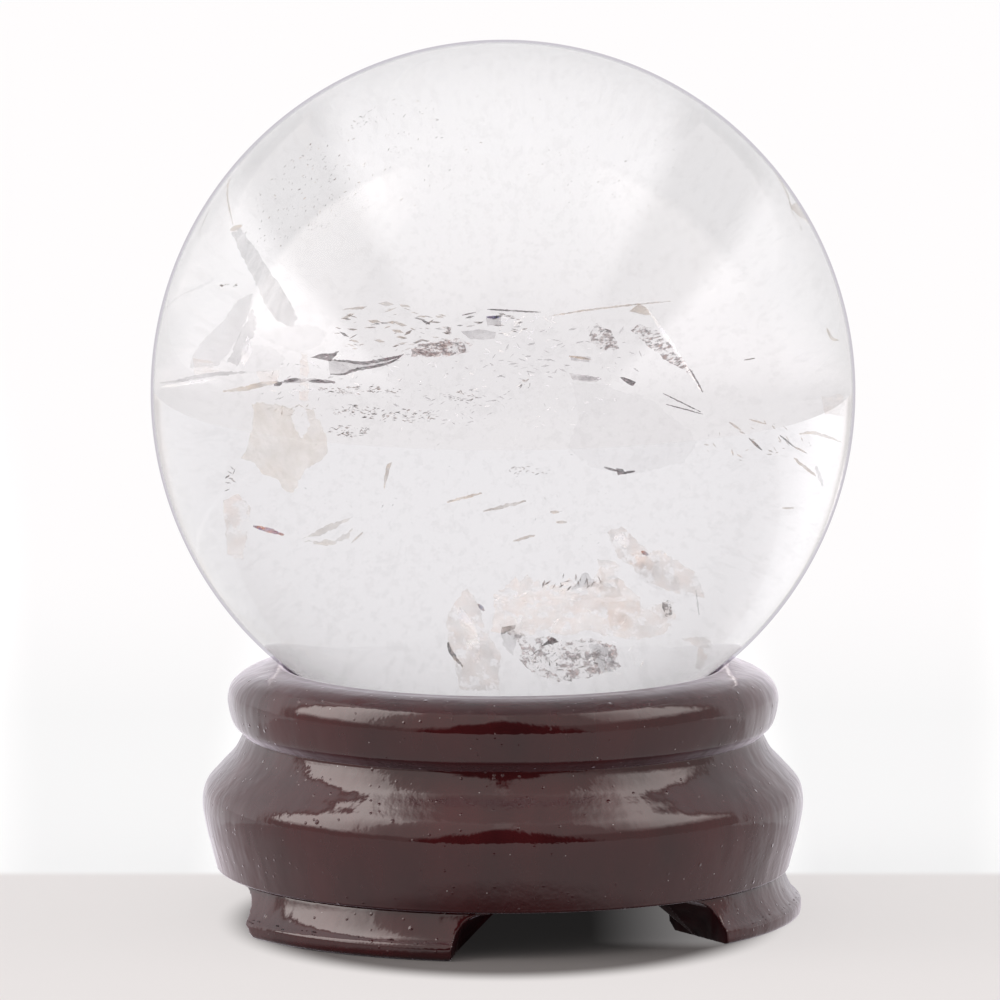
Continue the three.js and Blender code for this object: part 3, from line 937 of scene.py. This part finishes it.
# fields of splinters: the kind, how many, the middle, the half sizes across and up, the spread of depths
# (None on the main break), the lengths and the slant in degrees with its spread
FIELDS = [
    ("brown", 260, (-22, 20.5), (6.6, 6), (-0.2, 0.2), (0.07, 0.22), (55, 20)),
    ("brown", 30, (-14.6, 27.6), (2.2, 1.2), (-0.2, 0.2), (0.08, 0.25), (20, 30)),
    ("brown", 40, (11, 22), (9, 4), (-0.2, 0.2), (0.07, 0.22), (30, 40)),
    ("brown", 40, (-12, 25), (9, 5), (-0.3, 0.3), (0.10, 0.26), (50, 30)),
    ("tan", 90, (-15, 24), (11, 6.5), (-0.3, 0.3), (0.10, 0.30), (50, 30)),
    ("tan", 70, (5, 26), (13, 7), (-0.3, 0.3), (0.08, 0.22), (30, 50)),
    ("brown", 80, (-14.5, 0.2), (4.8, 0.4), None, (0.1, 0.4), (0, 15)),
    ("brown", 60, (-14.7, -1.9), (2.4, 0.7), None, (0.1, 0.45), (0, 20)),
    ("brown", 90, (-10, -2.4), (3.6, 0.7), None, (0.1, 0.45), (5, 20)),
    ("brown", 60, (-15.4, -3.9), (2.2, 0.6), None, (0.12, 0.5), (10, 20)),
    ("smoke", 60, (-5, -1.2), (6, 2.4), None, (0.15, 0.6), (5, 25)),
    ("brown", 26, (-4.2, -0.4), (1.8, 0.5), None, (0.1, 0.4), (0, 30)),
    ("brown", 14, (2.2, 0.8), (0.7, 0.5), None, (0.1, 0.4), (30, 30)),
    ("smoke", 24, (2, 2.4), (4.6, 1.2), None, (0.2, 0.6), (0, 12)),
    ("brown", 26, (2.6, -7.8), (2.2, 0.6), (-0.4, -0.2), (0.1, 0.35), (0, 25)),
    ("brown", 34, (-11, 6.2), (6, 2.3), None, (0.12, 0.55), (0, 14)),
    ("tan", 40, (-11.5, 6.4), (6.4, 2.6), None, (0.12, 0.6), (0, 14)),
    ("brown", 26, (-1, 6.8), (3.4, 1.3), None, (0.10, 0.45), (0, 14)),
    ("smoke", 40, (-20.5, 1), (5, 2), None, (0.15, 0.5), (10, 25)),
    ("white", 60, (-12, 0), (12, 4), None, (0.15, 0.5), (10, 40)),
    ("white", 50, (4, 1), (8, 5), None, (0.15, 0.5), (10, 40)),
    ("white", 26, (2.4, 6.6), (3, 1.2), None, (0.15, 0.5), (10, 40)),
    ("brown", 24, (6.8, -19), (3.2, 0.7), (-0.1, 0.1), (0.2, 0.6), (75, 25)),
    ("brown", 50, (6.4, -26.8), (3.8, 1.8), (-0.1, 0.1), (0.15, 0.5), (0, 60)),
    ("white", 40, (6, -22), (8, 2.4), (-0.1, 0.1), (0.2, 0.8), (20, 60)),
    ("white", 40, (8, -26.5), (7, 2.2), (-0.1, 0.1), (0.2, 0.7), (20, 60)),
    ("smoke", 60, (-10, 1), (12, 3.4), None, (0.1, 0.4), (0, 30)),
    ("smoke", 50, (8, 4), (9, 3), None, (0.1, 0.5), (10, 40)),
    ("tan", 14, (-21, -1.8), (3, 0.5), (-0.2, 0.2), (0.2, 0.5), (20, 40)),
    ("brown", 10, (-27.4, 10.7), (0.9, 0.2), (-0.1, 0.1), (0.2, 0.4), (10, 20)),
    ("brown", 8, (-27.3, -8.6), (0.7, 1.6), (-0.1, 0.1), (0.3, 0.6), (30, 40)),
    ("tan", 30, (26, -5), (6, 2.6), (0, 0.2), (0.15, 0.5), (-30, 30)),
    ("smoke", 70, (0, -6), (24, 10), (-0.7, 0.7), (0.08, 0.25), (0, 90)),
]


# what each kind of mark is made of: the name, the two colours, how solid, the scale of the grain, its
# threshold, its stretch and the glow
MARK_LOOKS = {
    "veils": ("smoky_veil", [(0.25, 0.23, 0.27), (0.45, 0.43, 0.46)], 0.052, 200),
    "blade": ("grey_blade", [(0.20, 0.19, 0.22), (0.60, 0.60, 0.64)], 0.20, 700, None, (1.8, 0.2, 0.35)),
    "smoke": ("smoky_line", [(0.16, 0.13, 0.17), (0.38, 0.34, 0.36)], 0.24, 1100),
    "cream": ("cream_fracture", [(0.86, 0.75, 0.61), (0.94, 0.87, 0.76)], 0.25, 900),
    "pale": ("pale_fracture", [(0.95, 0.78, 0.68), (1.0, 0.97, 0.94)], 0.18, 1700, 0.45, FLAT_GRAIN, 0.10),
    "white": ("white_fracture", [(0.95, 0.95, 1.0), (1.0, 0.97, 0.93)], 0.36, 900, None, FLAT_GRAIN, 0.50),
    "tan": ("tan_fracture", [(0.48, 0.30, 0.15), (0.70, 0.53, 0.34)], 0.34, 900),
    "dark": ("dark_sliver", [(0.020, 0.010, 0.020), (0.15, 0.08, 0.10)], 0.66, 2600),
    "speckled": ("speckled_flake", [(0.05, 0.025, 0.045), (0.32, 0.18, 0.15)], 0.43, 5200, 0.52),
    "crumbs": ("crumbled_patch", [(0.15, 0.07, 0.08), (0.72, 0.56, 0.52)], 0.36, 2900, 0.53),
    "brown": ("brown_splinter", [(0.05, 0.025, 0.03), (0.30, 0.16, 0.09)], 0.55, 1500),
    "iris": ("iridescent_fleck", [(0.05, 0.08, 0.50), (0.85, 0.26, 0.03)], 0.6, 1500),
    "haze": ("fine_haze", [(0.50, 0.47, 0.48), (1.0, 1.0, 1.0)], 0.035, 2600, 0.55),
}


def make_flaws():
    """Everything in the stone, one mesh for each kind of surface."""
    draw = random.Random(DRAW_SEED)
    surfaces = {kind: mark_material(*look) for kind, look in MARK_LOOKS.items()}
    meshes = {kind: bmesh.new() for kind in surfaces}
    for kind, marks in MARKS.items():
        for depth, outline in marks:
            rough = 0.05 if kind in ("dark", "tan", "smoke") else 0.13
            spacing = 1.5 if kind == "haze" else 0.4
            plate(meshes[kind], ragged(outline, 0.3, rough, draw), depth, spacing, PLATE_THICKNESS)
    for kind, deep, width, points in STREAKS:
        depth = fracture if deep is None else relief(deep, rough=0.02)
        outline = ragged(ribbon(points, width), 0.2, min(0.09, width * 0.22), draw)
        plate(meshes[kind], outline, depth, 0.3, STREAK_THICKNESS)
    for kind, count, (x, z), (wide, high), deep, (short, long), (slant, spread) in FIELDS:
        for _ in range(count):
            angle, reach = draw.uniform(0, 2 * math.pi), math.sqrt(draw.random())
            at_x, at_z = x + wide * reach * math.cos(angle), z + high * reach * math.sin(angle)
            if math.hypot(at_x, at_z) > SPLINTER_REACH:
                continue
            depth = fracture(at_x, at_z) if deep is None else draw.uniform(*deep)
            length = draw.uniform(short, long)
            turn = math.radians(draw.gauss(slant, spread))
            shard(meshes[kind], at_x, at_z, depth, length, length * draw.uniform(0.10, 0.30), turn, draw)
    for kind, made in meshes.items():
        bmesh.ops.recalc_face_normals(made, faces=made.faces)
        mesh = bpy.data.meshes.new("flaws_" + kind)
        made.to_mesh(mesh)
        made.free()
        mesh.materials.append(surfaces[kind])
        piece = linked("flaws_" + kind, mesh)
        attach(piece, "ball")


# ---------------------------------------------------------------- making it all

def stand_part(piece, cad_node):
    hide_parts(cad_node)
    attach(piece, "stand")


make_camera()
make_floor()
make_world()

lacquer = lacquer_material()
# the gap-wall lacquer, whose darker red is partly painted shade
gap_wall_shaded = lacquer_material(raw_and_shaded=True)
stand_part(turned_piece("lacquered_rim", rim_outline, lacquer, swell_above=23.2), "rim_ring")
stand_part(turned_piece("lacquered_bowl", bowl_outline, lacquer, swell_above=24.5), "bowl")
FEET = (("left", "side", "front"), ("right", "front", "rear"), ("back", "rear", "side"))
for foot, before, after in FEET:
    gaps = (NOTCHES[before], NOTCHES[after])
    stand_part(foot_piece("lacquered_foot_" + foot, *gaps, lacquer, gap_wall_shaded), "foot_" + foot)

ball = ball_piece(quartz_material())
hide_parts("crystal_ball")
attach(ball, "ball")
make_flaws()

scene = bpy.context.scene
scene.view_settings.view_transform = "Standard"
scene.view_settings.look = "None"
scene.cycles.max_bounces = 20
scene.cycles.transmission_bounces = 20
scene.cycles.transparent_max_bounces = 40
